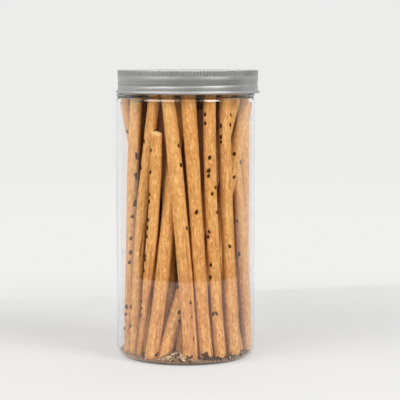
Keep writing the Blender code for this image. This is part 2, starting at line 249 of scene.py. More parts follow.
packing = {
    # arcs of the sticks that the front doesn't show: radius, count, first and last angle
    "arcs": ((36.5, 11, 109, 250), (28.6, 11, 82, 285), (20.6, 8, 100, 330),
             (12.6, 6, 0, 300), (2.0, 1, 200, 200)),
    "turned": 4,  # degrees either way
    "foot": 4.4,
    "footShift": (-0.6, 0.8),
    "thickness": (7.7, 0.5),  # mean and spread
    "thickLimits": (6.6, 8.8),
    "tops": (150.0, 168.0),
    "lean": 3, "bow": 0.8, "wave": 0.15,
    "gap": 0.1, "wallGap": 0.9,
    "sides": (-31.2, 35.2),  # hidden sticks keep out of the empty slivers beyond these
    "leftLean": (0.03, 130),  # the left one leans out, below this height
    "rounds": 500, "step": 0.8, "levels": 26,
    "tones": (0.25, 0.8), "backTone": -0.15,
    # a stick whose tone is above 1 gets painted shade, darker higher up
    "innerShadeTone": 1.2,  # above 1 a stick is deep inside and so darker
}

jarShape = {
    "body": 42.5, "wall": 0.8, "corner": 6.0, "shift": -0.5,
    "footRing": 33.0, "pushUp": 2.2,
    "shoulder": 157.4, "shoulderRadius": 2.2,
    "neck": 39.8, "neckTop": 174.8,
    "bead": 42.3, "beadHeight": 160.6,  # the ring just under the lid
    "thread": 168.0, "threadDepth": 0.5,
    "columns": 288,
}
innerWall = jarShape["body"] - jarShape["wall"]
cornerStart = jarShape["body"] - jarShape["corner"]


# The jar's inside radius at a height: the corner's arc below, the body, and narrower at the neck.
def innerRadius(height):
    corner = jarShape["corner"] - jarShape["wall"]
    rise = np.clip(corner + jarShape["wall"] - height, 0, corner)
    low = cornerStart + np.sqrt(corner**2 - rise**2)
    narrowing = np.clip((height - jarShape["shoulder"]) / jarShape["shoulderRadius"], 0, 1)
    high = innerWall - (jarShape["body"] - jarShape["neck"]) * narrowing
    return np.minimum(low, high)


# Every stick's place and size, the hidden ones evenly along their arcs with random shifts.
def layOutSticks():
    draw = random.Random(11)

    # a random shift either way
    def scattered(spread):
        return np.array((draw.uniform(-spread, spread), draw.uniform(-spread, spread)))

    rows = list(frontSticks.values())
    for radius, count, first, last in packing["arcs"]:
        for k in range(count):
            shift = draw.uniform(-packing["turned"], packing["turned"])
            angle = math.radians(first + (last - first) * k / max(count - 1, 1) + shift)
            place = radius * np.array((math.sin(angle), -math.cos(angle)))
            foot, head = place + scattered(packing["lean"]), place + scattered(packing["lean"])
            middle = (foot + head) / 2 + scattered(packing["bow"])
            thick = np.clip(draw.gauss(*packing["thickness"]), *packing["thickLimits"])
            low = packing["foot"] + draw.uniform(*packing["footShift"])
            layer = -1 if radius == packing["arcs"][0][0] else -2  # until their tones are drawn
            rows.append((foot, middle, head, thick, 0, 0, 0, low, draw.uniform(*packing["tops"]), layer))
    titles = ("foot", "bow", "head", "thick", "thinFoot", "thinHead", "sway", "low", "top", "tone")
    made = {title: np.array(column, float) for title, column in zip(titles, zip(*rows))}
    made["bow"] -= (made["foot"] + made["head"]) / 2
    made["phases"] = np.array([[draw.uniform(0, 2 * math.pi) for _ in range(4)] for _ in rows])
    drawn = np.random.default_rng(3).uniform(*packing["tones"], len(rows))
    back, inner, tone = drawn + packing["backTone"], drawn + packing["innerShadeTone"], made["tone"]
    made["tone"] = np.select([tone == -1, tone == -2], [back, inner], tone)
    settle(made)
    return made


# Hidden sticks are pushed apart where they touch at any of several heights, and pushed in from the
# wall and from the empty slivers at the sides. The shown ones stay.
def settle(made):
    foot, head, bow = made["foot"], made["head"], made["bow"]
    radius, low, top = made["thick"] / 2, made["low"], made["top"]
    fixed = np.arange(len(foot)) < len(frontSticks)
    height = np.linspace(packing["foot"], packing["tops"][1], packing["levels"])
    up = (height - low[:, None]) / (top - low)[:, None]
    there = (up >= -0.02) & (up <= 1.02)
    up = up[..., None]
    rim = innerRadius(height) - packing["wallGap"] - radius[:, None]
    left, right = packing["sides"]
    lean, below = packing["leftLean"]
    left = left - lean * (below - height)
    weight = np.where(fixed, 1e-6, 1.0)
    share = (weight[:, None] / (weight[:, None] + weight))[..., None]
    pairs = there[:, None] & there & ~np.eye(len(foot), dtype=bool)[..., None]
    reach = (radius[:, None] + radius + packing["gap"])[..., None]
    footPart, headPart = (1 - up) * there[..., None], up * there[..., None]
    for _ in range(packing["rounds"]):
        at = foot[:, None] * (1 - up) + head[:, None] * up + 4 * bow[:, None] * up * (1 - up)
        apart = at[:, None] - at
        distance = np.linalg.norm(apart, axis=-1) + 1e-9
        pressed = np.where(pairs, np.clip(reach - distance, 0, None), 0)
        push = (apart * (pressed * share / distance)[..., None]).sum(1)
        fromAxis = np.linalg.norm(at, axis=-1) + 1e-9
        push -= at * (np.where(there, np.clip(fromAxis - rim, 0, None), 0) / fromAxis)[..., None]
        side = np.clip(left - at[..., 0], 0, None) - np.clip(at[..., 0] - right, 0, None)
        push[..., 0] += np.where(there, side, 0)
        push[fixed] = 0
        foot += packing["step"] * (push * footPart).sum(1) / footPart.sum(1)
        head += packing["step"] * (push * headPart).sum(1) / headPart.sum(1)


# broken pieces that stand behind the front sticks: x, y, thickness, low end, top, how pale, which is
# painted bounce light
brokenSticks = (
    (8.6, -27.2, 6.4, 4.2, 40, 0.8),
    (17, -24.5, 6.4, 4.6, 47, 1.0),
    (24, -17.5, 6.4, 4.4, 42, 1.0),
    (-3.6, -26, 4.8, 3.6, 26, 0.2),
    (-23.2, -18.8, 6.2, 4.4, 44, 0.9),
)


# The laid out sticks with the broken pieces after them, whose tone is 2 and how pale they are,
# which is painted bounce light.
def withBroken(made):
    x, y, thick, low, top, pale = np.array(brokenSticks, float).T
    more = {key: np.zeros((len(x), *value.shape[1:])) for key, value in made.items()}
    more["foot"] = more["head"] = np.stack([x, y], 1)
    more["phases"] = np.random.default_rng(5).uniform(0, 6.28, (len(x), 4))
    more.update(thick=thick, low=low, top=top, tone=2 + pale)
    return {key: np.concatenate([value, more[key]]) for key, value in made.items()}


sticks = withBroken(layOutSticks())
stickNames = list(frontSticks)
firstHidden = len(frontSticks)
firstInner = firstHidden + packing["arcs"][0][1]
stickCount = len(sticks["foot"])
print("laid out", stickCount, "sticks")

stickRelief = {
    # facets, furrows and grains: depth in mm, then hills along and around a stick
    "hills": ((0.17, 7, 5), (0.055, 12, 17), (0.035, 110, 20)),
    "swells": ((0.018, 7), (0.012, 17)),  # share of the thickness, radians from foot to head
    "corner": 0.9,  # rounding of the ends
    "dome": 0.2,
    "capRings": (0.4, 0.75),  # rings on the ends' flat discs
    "slantReach": 9,
    "splitEnds": (8, 14),  # how far a split fades out below and above
    "wander": ((0.25, 5.5), (0.2, 2.3)),  # a split's sideways waves
    "sideways": 0.35,  # how far a shown stick's seeds and splits follow the jar's curve
    "patternShift": 400,
}
reliefDraw = np.random.default_rng(41)
reliefTables = [(depth, reliefDraw.uniform(-1, 1, (stickCount, along + 1, around)))
                for depth, along, around in stickRelief["hills"]]

# Splits in the crust: stick, low and high end, mm right of the centre line, width, depth. A
# shallow one is only a red-brown stain.
splits = (
    ("f", 4, 80, 2.8, 0.75, 0.8),
    ("f", 44, 72, -3.3, 0.4, 0.5),
    ("f", 0, 64, 0.4, 2.4, 0.22),
    ("g", 8, 40, -2.6, 0.35, 0.3),
    ("c", 60, 84, 2.2, 0.5, 0.5),
    ("d", 44, 78, 1.6, 0.45, 0.5),
    ("h", 22, 60, 2.8, 0.4, 0.4),
    ("e", 8, 56, 1.4, 0.35, 0.35),
    ("b", 6, 60, -0.6, 0.35, 0.35),
)
# Slanting ends: stick, 1 for the top and 0 for the foot, direction in degrees from +X, rise
slants = (
    ("d", 1, 105, 0.3),
    ("j", 0, 0, 0.8),
    ("e", 0, 60, 0.25),
    ("f", 0, 0, -0.3),
    ("c", 0, 180, 0.2),
    ("b", 1, 100, 0.4),
)


# (x, y, z) of a stick's centre line at a share of the way up: a parabola with a slight wave.
def centreLine(which, up):
    foot, head, bow = (sticks[key][which] for key in ("foot", "head", "bow"))
    phases = sticks["phases"][which]
    up = np.asarray(up)[..., None]
    sway = sticks["sway"][which][..., None] * np.sin(2 * np.pi * up)
    wave = np.concatenate([packing["wave"] * np.sin(9 * up + phases[..., 0:1]) + sway,
                           packing["wave"] * np.sin(8 * up + phases[..., 1:2])], -1)
    across = foot * (1 - up) + head * up + 4 * bow * up * (1 - up) + wave
    height = sticks["low"][which][..., None] * (1 - up) + sticks["top"][which][..., None] * up
    return np.concatenate([across, height], -1)


# Two directions across the stick and one along it.
def crossAxes(which, up):
    along = unit(centreLine(which, up + 0.01) - centreLine(which, up - 0.01))
    side = unit(np.array((1.0, 0, 0)) - along * along[..., 0:1])
    return side, np.cross(along, side), along


# The angle, in turns, of the line on a shown stick that lies so many mm right of its middle.
def turnOf(which, across):
    radius = sticks["thick"][which] / 2
    middle = centreLine(which, np.asarray(0.5))
    fromAxis = np.hypot(middle[..., 0], middle[..., 1])
    out = np.arctan2(-1.0, stickRelief["sideways"] * middle[..., 0] / fromAxis)
    return (out + np.arcsin(np.clip(across / radius, -0.95, 0.95))) / (2 * np.pi)


# Radius and split mask at a share of the way up and an angle in turns: half the thickness with two
# slow waves and thinner ends, the three kinds of hills, and a bell-shaped cut along each split.
def stickRadius(which, up, turn):
    phases = sticks["phases"][which]
    swell = 1
    for k, (size, pace) in enumerate(stickRelief["swells"]):
        swell = swell + size * np.sin(pace * up + phases[..., 2 + k])
    swell = swell - sticks["thinFoot"][which] * (1 - up) ** 2 - sticks["thinHead"][which] * up**2
    radius = plain = sticks["thick"][which] / 2 * swell
    for depth, table in reliefTables:
        radius = radius + depth * hills(table, which, up, turn)
    cracked = np.zeros(np.broadcast(which, up, turn).shape)
    for name, low, high, across, width, depth in splits:
        index = stickNames.index(name)
        height = sticks["low"][index] + (sticks["top"][index] - sticks["low"][index]) * up
        drift = sum(size * np.sin(height / period) for size, period in stickRelief["wander"])
        off = (turn - turnOf(np.array(index), across) + 0.5) % 1 - 0.5
        bell = np.exp(-(((off * 2 * np.pi * plain) - drift) / width) ** 2)
        starts, stops = stickRelief["splitEnds"]
        atFoot = 1 * (low < 6)  # such a split runs out through the foot
        fade = smoothStep((height - low) / starts + atFoot) * smoothStep((high - height) / stops)
        here = (which == index) * bell * fade
        radius = radius - depth * here
        cracked = np.maximum(cracked, here * min(1, depth / 0.4))
    return radius, cracked


# A set of sticks as tubes: rows of rings up each one, drawn in over rounded ends to a flat disc.
def stickPiece(name, chosen, rows, columns, material):
    chosen = np.array(chosen)[:, None, None]
    length = (sticks["top"] - sticks["low"])[chosen]
    corner, dome, disc = stickRelief["corner"], stickRelief["dome"], np.array(stickRelief["capRings"])
    bend = np.radians(np.linspace(0, 90, 5))
    inward = np.concatenate([disc, np.ones(len(bend))])
    rounding = np.concatenate([0 * disc, np.sin(bend)])
    offset = np.concatenate([dome * disc**2, dome + corner * (1 - np.cos(bend))])
    body = np.linspace(0, 1, rows)[1:-1]
    inward, rounding = (np.concatenate([part, np.ones(len(body)), part[::-1]])[None, :, None]
                        for part in (inward, rounding))
    bare = 1 - smoothStep(rounding * 0.9)
    low = np.broadcast_to(offset[None, :, None], (len(chosen), len(offset), 1))
    reach = length - 2 * (dome + corner)
    distance = np.concatenate([low, dome + corner + reach * body[None, :, None], length - low[:, ::-1]], 1)
    up = distance / length
    turn = np.linspace(0, 1, columns, endpoint=False)[None, None, :]
    turn, up = np.broadcast_arrays(turn, up)
    which = np.broadcast_to(chosen, up.shape)
    radius, cracked = stickRadius(which, up, turn)
    radius = (radius - corner) * inward + corner * rounding
    across = radius[..., None] * np.stack([np.cos(2 * np.pi * turn), np.sin(2 * np.pi * turn)], -1)
    lift = np.zeros(up.shape)
    for title, top, direction, rise in slants:
        towards = math.radians(direction)
        fromEnd = length - distance if top else distance
        near = (chosen == stickNames.index(title)) * smoothStep(1 - fromEnd / stickRelief["slantReach"])
        lean = across[..., 0] * math.cos(towards) + across[..., 1] * math.sin(towards)
        lift = lift + near * rise * lean
    side, ahead, along = crossAxes(which, up)
    points = (centreLine(which, up) + side * across[..., 0:1] + ahead * across[..., 1:2]
              + along * lift[..., None])
    poles = centreLine(*np.broadcast_arrays(chosen[..., 0], np.array([[0.0, 1.0]])))
    # each stick reads its own part of the crust's pattern
    far = stickRelief["patternShift"]
    shift = np.random.default_rng(8).uniform(-far, far, (stickCount, 3))[chosen[:, 0, 0]]
    straight = np.concatenate([across, distance[..., None] + 0 * across[..., :1]], -1) + shift[:, None, None]
    poleStraight = np.stack([shift, shift + (0, 0, 1) * length[:, 0]], 1)
    tone = sticks["tone"][chosen]
    none = np.zeros((len(chosen), 2))
    return tubeMesh(name, points, poles, material, {
        "straight": (straight * mm, poleStraight * mm),
        "tone": (tone + 0 * up, tone[..., 0] + none),
        "bare": (bare + 0 * up, 1 + none),
        "split": (cracked, none),
    })


seedShape = {
    "size": (2.9, 1.9, 1.0),  # length, width and height, and how much these vary
    "vary": (0.88, 1.12),
    "narrowing": (0.3, 0.15),  # of width and height towards one end
    "sunk": 0.12,
    "rows": 6, "columns": 10,
    "perStick": (1, 6, 2),  # on a back stick, then more on it, and on an inner one
    "heights": ((20, 140), (12, 146)),  # for those first ones, then for the others
    "across": (2.5, 3.2), "twist": (0.6, 0.9),
    "edge": 0.82,  # how far round a stick's side, as a share of its radius
}

# black sesame seeds on the front's sticks, in mm: height, and how far right of the jar's middle
frontSeeds = {
    "a": ((139, -34.5),),
    "b": ((126, -28.4), (124.2, -28.4), (114.1, -28.7), (112.3, -28.1), (97.4, -29.3), (95.7, -29.6),
          (88.5, -30.8), (75.1, -31.7), (66.5, -32), (60.3, -32.9), (32.6, -35.3), (27.8, -35.6),
          (18.9, -37)),
    "c": ((133.7, -24.5), (117.7, -26.3), (33.2, -32.6), (21.3, -33.5)),
    "d": ((129, -21.3), (115.9, -20.4), (102.8, -22.1), (98.6, -21.6), (87.3, -23.2), (82.6, -23.3),
          (77.2, -23.5), (65.6, -24.7), (63.2, -25.4), (56.4, -26.2), (37.7, -27.3), (33.8, -27.5),
          (29, -27.8)),
    "e": ((6.9, -16.5),),
    "f": ((131.6, -3.6), (120, -2), (82.6, 1), (38.5, 2.9), (29.9, 4.1), (16.5, 4.7)),
    "g": ((92.7, 6.2),),
    "h": ((150.1, 11), (145, 11), (124.8, 13.7), (117.1, 13.1), (114.1, 13.1), (107, 17.4), (103.4, 15.2),
          (92.1, 18.5), (80.8, 13.4), (77.8, 12.5), (60.9, 14.3), (53.4, 13.7), (31.4, 15.8), (31.7, 17.6)),
    "i": ((143.3, 19.9), (136.7, 19.6), (133.7, 19.9), (149.8, 26.6), (143.8, 26.1), (71.3, 25.3)),
    "j": ((45.1, -5.4), (31.7, -3.6), (26.7, -3.6)),
    "k": ((124.8, 27.9), (121.2, 33), (111.7, 28.2)),
    "l": ((111.1, 29.5), (83.8, 29), (63.5, 30.7)),
}


# Seeds as small drops: an ellipsoid whose width narrows towards one end.
def seedPiece(name, places, lengthways, outwards, sizes, material):
    lat, lon = ballGrid(seedShape["rows"], seedShape["columns"])
    along = np.sin(lat) + 0 * lon
    narrower, flatter = seedShape["narrowing"]
    wide = np.cos(lat) * np.cos(lon) * (1 - narrower * along)
    high = np.cos(lat) * np.sin(lon) * (1 - flatter * along)
    across = np.cross(outwards, lengthways)
    half = sizes[:, None, None, :] / 2
    points = (places[:, None, None] + lengthways[:, None, None] * along[..., None] * half[..., 0:1]
              + across[:, None, None] * wide[..., None] * half[..., 1:2]
              + outwards[:, None, None] * high[..., None] * half[..., 2:3])
    tips = lengthways * sizes[:, 0:1] / 2
    poles = np.stack([places - tips, places + tips], 1)
    return tubeMesh(name, points[:, :, ::-1], poles, material)


# Where each seed lies on a stick's skin: its middle, its length's direction and the way outwards,
# which is the wall's for a hidden stick and turned to the front for a shown one.
def seedPlaces():
    draw = random.Random(23)
    more = random.Random(29)
    rows = []
    first, onOuter, onInner = seedShape["perStick"]
    (short, tall), (near, wide), (little, much) = (seedShape[key] for key in ("heights", "across", "twist"))
    for index in range(firstInner):
        shown = index < firstHidden
        seeds = frontSeeds.get(stickNames[index], ()) if shown else ()
        if not shown:
            seeds = [(draw.uniform(*short), draw.uniform(-near, near)) for _ in range(first)]
        for height, across in seeds:
            rows.append((index, height, across, draw.uniform(-little, little), shown))
    for index in range(firstHidden, stickCount - len(brokenSticks)):
        for _ in range(onOuter if index < firstInner else onInner):
            height, across = more.uniform(*tall), more.uniform(-wide, wide)
            rows.append((index, height, across, more.uniform(-much, much), False))
    which, height, across, twist, shown = (np.array(column) for column in zip(*rows))
    up = (height - sticks["low"][which]) / (sticks["top"][which] - sticks["low"][which])
    centre = centreLine(which, up)
    across = np.where(shown, across - centre[:, 0], across)
    outwards = unit(centre * (1, 1, 0))
    facing = unit(np.stack([stickRelief["sideways"] * outwards[:, 0], -np.ones(len(rows)), 0 * height], 1))
    outwards = np.where(shown[:, None], facing, outwards)
    sideways = np.stack([-outwards[:, 1], outwards[:, 0], 0 * height], 1)
    edge = seedShape["edge"]
    slide = np.clip(across / (sticks["thick"][which] / 2), -edge, edge)[:, None]
    normal = outwards * np.sqrt(1 - slide**2) + sideways * slide
    side, ahead, along = crossAxes(which, up)
    turn = np.arctan2((normal * ahead).sum(-1), (normal * side).sum(-1)) / (2 * np.pi)
    radius, _ = stickRadius(which, up, turn)
    normal = side * np.cos(2 * np.pi * turn)[:, None] + ahead * np.sin(2 * np.pi * turn)[:, None]
    places = centre + normal * (radius - seedShape["sunk"])[:, None]
    lengthways = along * np.cos(twist)[:, None] + np.cross(normal, along) * np.sin(twist)[:, None]
    return places, lengthways, normal


bedShape = {
    "inner": 10, "outer": 40.2,
    "height": 3.3, "mound": 4.2,
    "sandAt": -8, "sandWidth": 10,  # degrees right of the front
    "lumps": ((4, 60, 0.3), (12, 170, 0.3)),  # hills outwards and around, and their height
    # the underside's radius and height, which follow the jar's floor and corner
    "under": ((40.6, 3.4), (40.2, 2.6), (39.4, 1.9), (38.2, 1.3), (36.5, 1.0), (32, 2.0), (24, 2.8)),
    "rows": 25, "columns": 320,
}
crumbShape = {
    "count": 1300,
    "sizes": (0.4, 1.4),
    "inSand": 0.35, "nearWall": 0.7,  # shares of the crumbs
    "reach": (8, 36),  # radii of the others; the ones near the wall lie outside these
    "onWall": (0.5, 0.15),  # where it is sandy, and elsewhere
    "wallGap": 0.15,
    "uneven": (0.65, 1.15),
    "rows": 2, "columns": 6,
}
# loose seeds that lie against the wall at the bottom, in mm: right of the middle, height
looseSeeds = (
    (-8.3, 4.4), (-5.9, 6.5), (-4.4, 7.5), (-4.1, 4.8), (-2.9, 3.7), (0, 4.6), (0.7, 5.3), (2.5, 3.7),
    (3.1, 6.0), (10.3, 7.0), (11.8, 7.8), (12.7, 6.3), (11.2, 5.1), (14.5, 4.9), (15.7, 4.0), (18.7, 4.3),
    (20.5, 3.8), (23.5, 4.3), (25.3, 4.1), (27.1, 3.6), (29.5, 3.7), (33.1, 4.0), (36.1, 4.3), (37.3, 4.3),
)


# The lowest height at which something of a half size fits at a radius: a parabola over the
# pushed-up base, and the corner's arc outside it.
def floorHeight(radius, half):
    corner = jarShape["corner"] - jarShape["wall"] - half
    inArc = np.clip(radius - cornerStart, 0, corner)
    rise = jarShape["corner"] - np.sqrt(corner**2 - inArc**2)
    inner = jarShape["wall"] + half + jarShape["pushUp"] * (1 - np.clip(radius / cornerStart, 0, 1) ** 2)
    return np.where(radius > cornerStart, rise, inner)


# How sandy the bed is at an angle in degrees right of the front: a bell curve between two feet,
# where loose crumbs lie.
def sandy(angle):
    return np.exp(-(((angle + 180) % 360 - 180 - bedShape["sandAt"]) / bedShape["sandWidth"]) ** 2)


# The bed of crumb dust in the jar's corner, lumpy on top and higher where it is sandy.
def bedPiece(name, material):
    draw = np.random.default_rng(19)
    s = bedShape
    turn = ringAngles(s["columns"])[None, :]
    out = np.linspace(0.0, 1.0, s["rows"])[:, None]
    lumps = 0
    for along, around, high in s["lumps"]:
        lumps = lumps + high * hills(draw.uniform(-1, 1, (1, along + 1, around)), 0, out, turn / (2 * np.pi))
    sand = sandy(np.degrees(turn) + 90)
    radius = s["inner"] + (s["outer"] - s["inner"]) * out
    high = s["height"] + s["mound"] * sand * (0.4 + 0.6 * smoothStep((out - 0.3) / 0.4)) + lumps
    top = turned(radius, high, turn)
    under = turned(*np.array(s["under"]).T[..., None], turn)
    points = np.concatenate([under[::-1], top[::-1]])[None]
    poles = np.array([[(0, 0, s["height"] - 0.3), (0, 0, s["height"])]])
    sand = np.concatenate([0.3 * sand + 0 * under[..., 0], sand + 0 * top[..., 0]])
    return tubeMesh(name, points, poles, material, {"sandy": (sand[None], np.zeros((1, 2)))})


# Crumbs: small lumps with uneven rings, on the bed, most of them where it is sandy.
def crumbPiece(name, material):
    draw = np.random.default_rng(17)
    s = crumbShape
    count, rows, columns = s["count"], s["rows"], s["columns"]
    size = draw.uniform(*s["sizes"], count) * draw.uniform(0.6, 1, count)
    inSand = draw.uniform(0, 1, count) < s["inSand"]
    angle = np.where(inSand, draw.normal(bedShape["sandAt"], bedShape["sandWidth"] * 0.8, count),
                     draw.uniform(0, 360, count))
    nearWall = draw.uniform(0, 1, count) < s["nearWall"]
    outside = draw.uniform(s["reach"][1], bedShape["outer"], count)
    radius = np.where(nearWall, outside, draw.uniform(*s["reach"], count))
    half = size / 2
    radius = np.minimum(radius, innerWall - half - 0.2)
    height = bedShape["height"] + bedShape["mound"] * sandy(angle) + 0.1
    # some lie between the bed and the wall
    side = draw.uniform(0, 1, count) < np.where(sandy(angle) > 0.02, *s["onWall"])
    radius = np.where(side, innerWall - half - s["wallGap"], radius)
    low = floorHeight(np.minimum(radius, 41.0 - half), half)
    height = np.where(side, low + (height + 0.6 - low) * draw.uniform(0, 1, count), np.maximum(height, low))
    angle = np.radians(angle)
    centre = np.stack([radius * np.sin(angle), -radius * np.cos(angle), height], 1)
    lat, lon = ballGrid(rows, columns)
    uneven = draw.uniform(*s["uneven"], (count, rows, columns)) * half[:, None, None]
    flat = draw.uniform(0.5, 1, (count, 1, 1))
    points = np.stack([uneven * np.cos(lat) * np.cos(lon), uneven * np.cos(lat) * np.sin(lon),
                       uneven * np.sin(lat) * flat + 0 * lon], -1) + centre[:, None, None]
    ends = np.stack([0 * half, 0 * half, half * flat[:, 0, 0] * 0.9], 1)
    poles = np.stack([centre - ends, centre + ends], 1)
    return tubeMesh(name, points, poles, material)


# The clear shell: outside from the base's middle up, over the rim, and down the inside, turned
# round the axis. The base is pushed up inside a foot ring.
def jarPiece(name, material):
    s = jarShape
    outer, wall, corner, footRing, pushUp, shoulder, bend = (s[key] for key in (
        "body", "wall", "corner", "footRing", "pushUp", "shoulder", "shoulderRadius"))
    neck, top, bead, ring, thread = (s[key] for key in ("neck", "neckTop", "bead", "beadHeight", "thread"))
    inner = neck - wall

    # even steps between two values, without the ends
    def straight(first, last, count):
        return np.linspace(first, last, count + 2)[1:-1]

    # the base's rise, which falls with the fourth power of the radius
    def pushedUp(low, radius, first, last):
        return [(r, low + pushUp * (1 - (r / radius) ** 4)) for r in straight(first, last, 9)]

    outside = np.concatenate([
        pushedUp(0, footRing, 0, footRing), [(footRing, 0.0), (cornerStart - 0.4, 0.0)],
        arc(cornerStart, corner, corner, -90, 0, 12), [(outer, z) for z in straight(corner, shoulder, 46)],
        arc(outer - bend, shoulder, bend, 0, 68, 8), [(bead - 1.25, ring - 1.3)],
        arc(bead - 0.4, ring - 0.45, 0.4, -80, 0, 6), arc(bead - 0.3, ring + 0.65, 0.3, 0, 85, 6),
        [(neck + 0.6, ring + 1.0), (neck + 0.1, ring + 1.1), (neck, ring + 1.6), (neck, thread - 1.4)],
        [(neck + s["threadDepth"] * k, thread + z) for k, z in
         ((0.15, -1.1), (0.6, -0.7), (1, -0.25), (1, 0.25), (0.6, 0.7), (0.15, 1.1))],
        [(neck, thread + 1.4), (neck, top - 0.3), (neck - 0.1, top - 0.1), (neck - 0.3, top)]])
    inside = np.concatenate([
        [(inner + 0.3, top), (inner + 0.1, top - 0.1), (inner, top - 0.3)],
        [(inner, z) for z in straight(top - 0.3, shoulder + bend + 0.2, 5)],
        [(inner, shoulder + bend + 0.1)], arc(outer - bend - wall, shoulder, bend, 72, 0, 9),
        [(innerWall, z) for z in straight(shoulder, corner, 46)],
        arc(cornerStart, corner, corner - wall, 0, -90, 12), pushedUp(wall, cornerStart, cornerStart, 0)])
    radius, height = np.concatenate([outside, inside]).T[..., None]
    points = turned(radius, height, ringAngles(s["columns"])[None, :])
    poles = np.array([[(0, 0, pushUp), (0, 0, pushUp + wall)]])
    return tubeMesh(name, points[None], poles, material)


lidShape = {
    "radius": 43.0, "top": 176.0, "bottom": 162.0, "shift": 0.9,
    "sheet": 0.6, "edge": 0.4, "curl": 0.75,
    "ribs": 141, "ribSteps": 6, "ribDepth": 0.28, "ribsFrom": 172.4,
    "grooveDepth": 0.19, "grooveWidth": 1.0, "grooveMiddle": 167.0, "groovePitch": 3.2,
    "grooveTurns": (-130, 300),  # where it starts and ends, in degrees right of the front
    "runOut": 25,
    # the creases' darkness is painted shade
    "creases": ((169.4, 0.3), (168.1, 0.5)),  # height and darkness
    "creaseWidth": 0.3, "creaseDepth": 0.1,
    "bulge": (169, 3.4, 0.12),  # where it starts, how high it is and how far it comes out
}


# The lid: the inside from the middle outwards and down, the curl, the outside up and the top with a
# very shallow ring. The outside's radius has cosine ribs round its rim, a bell-shaped groove over
# the thread, which climbs as it goes round, and two thin creases that climb with it.
def lidPiece(name, material):
    s = lidShape
    outer, top, edge, bottom, curl, pitch = (
        s[key] for key in ("radius", "top", "edge", "bottom", "curl", "groovePitch"))
    inner, ceiling = outer - s["sheet"] - 0.5, top - s["sheet"]
    inside = np.concatenate([
        [(r, ceiling) for r in (8, 16, 24, 30, 36, 39.5)], arc(inner - 1, ceiling - 1, 1, 80, 10, 4),
        [(inner, z) for z in np.linspace(ceiling - 1.4, bottom + 1.6, 12)],
        [(inner + 0.1, bottom + 0.9), (inner + 0.35, bottom + 0.4)],
        arc(outer + 1.1 - curl, bottom + curl, curl, -125, 110, 14)])
    # closer rows where the groove and the creases are
    rows = np.concatenate([np.linspace(*span) for span in (
        (163.6, 167.4, 19), (167.55, 170.1, 21), (170.6, 172.4, 4), (172.7, 173.2, 4),
        (173.9, top - edge - 0.05, 4))])
    rim = arc(outer - edge, top - edge, edge, 10, 90, 7)
    flat = [(r, top - z) for r, z in (
        (41, 0), (40, 0), (39, 0.03), (38, 0.1), (37, 0.12), (36, 0.1), (35, 0.03), (34, 0),
        (27, 0), (20, 0), (10, 0))]
    radius, height = np.concatenate([inside, [(outer, z) for z in rows], rim, flat]).T[..., None]
    onWall = np.repeat((0, 1, 0), (len(inside), len(rows) + len(rim), len(flat)))[:, None]
    turn = ringAngles(s["ribs"] * s["ribSteps"])[None, :]
    angle = (np.degrees(turn) + 90 + 180) % 360 - 180  # from the front, growing to the right
    low, high = s["grooveTurns"]
    cut = 0
    for lap in (0, 360):
        place = angle + lap
        off = height - s["grooveMiddle"] - pitch * place / 360
        bell = np.exp(-(off / s["grooveWidth"]) ** 2 * 1.4)
        cut = cut + bell * smoothStep((place - low) / s["runOut"]) * smoothStep((high - place) / s["runOut"])
    cut = s["grooveDepth"] * np.clip(cut, 0, 1)
    # painted shade along the creases, which are also cut in a little
    shade = 0
    for crease, dark in s["creases"]:
        off = height - crease - pitch * angle / 360
        shade = shade + dark * np.exp(-(off / s["creaseWidth"]) ** 2)
    cut = cut + s["creaseDepth"] * shade
    start, tall, out = s["bulge"]
    bulge = out * np.sin(np.clip((height - start) / tall, 0, 1) * np.pi)
    band = smoothStep((height - s["ribsFrom"]) / 0.5)
    rib = band * (0.5 - 0.5 * np.cos(turn * s["ribs"]))
    radius = radius + onWall * (bulge - cut + s["ribDepth"] * (0.5 * band - 0.5 - rib))
    # painted shade between the ribs joins it
    shade = onWall * (shade + 0.55 * rib**2)
    radius = np.where(onWall > 0, np.minimum(radius, outer), radius)
    points = turned(radius, height, turn) + (s["shift"], 0, 0)
    poles = np.array([[(s["shift"], 0, ceiling), (s["shift"], 0, top)]])
    return tubeMesh(name, points[None], poles, material, {"shade": (shade[None], np.zeros((1, 2)))})


crustLook = {
    "yellow": (0.70, 0.35, 0.10),
    "orange": (0.58, 0.22, 0.035),
    "light": (0.98, 0.57, 0.23),
    "dark": (0.33, 0.12, 0.02),
    "rusty": (0.60, 0.20, 0.06),
    "brown": (0.22, 0.07, 0.02),
    "red": (0.42, 0.11, 0.03),
    "crumb": (0.84, 0.58, 0.31),
    # painted bounce light on the broken pieces
    "pale": (1.0, 0.58, 0.16),
    # painted shade on the sticks deep inside
    "paintedDeepShade": (0.26, 0.105, 0.04),
}
# how the crust's patterns stretch along a stick, their waves a metre, detail and roughness
crustGrain = {
    "streaks": (0.08, 380, 3.0, 0.6),
    "patches": (0.3, 150, 3.0, 0.55),
    "mottle": (0.45, 800, 3.0, 0.7),
    "lines": (0.12, 1000, 2.0, 0.6),
}
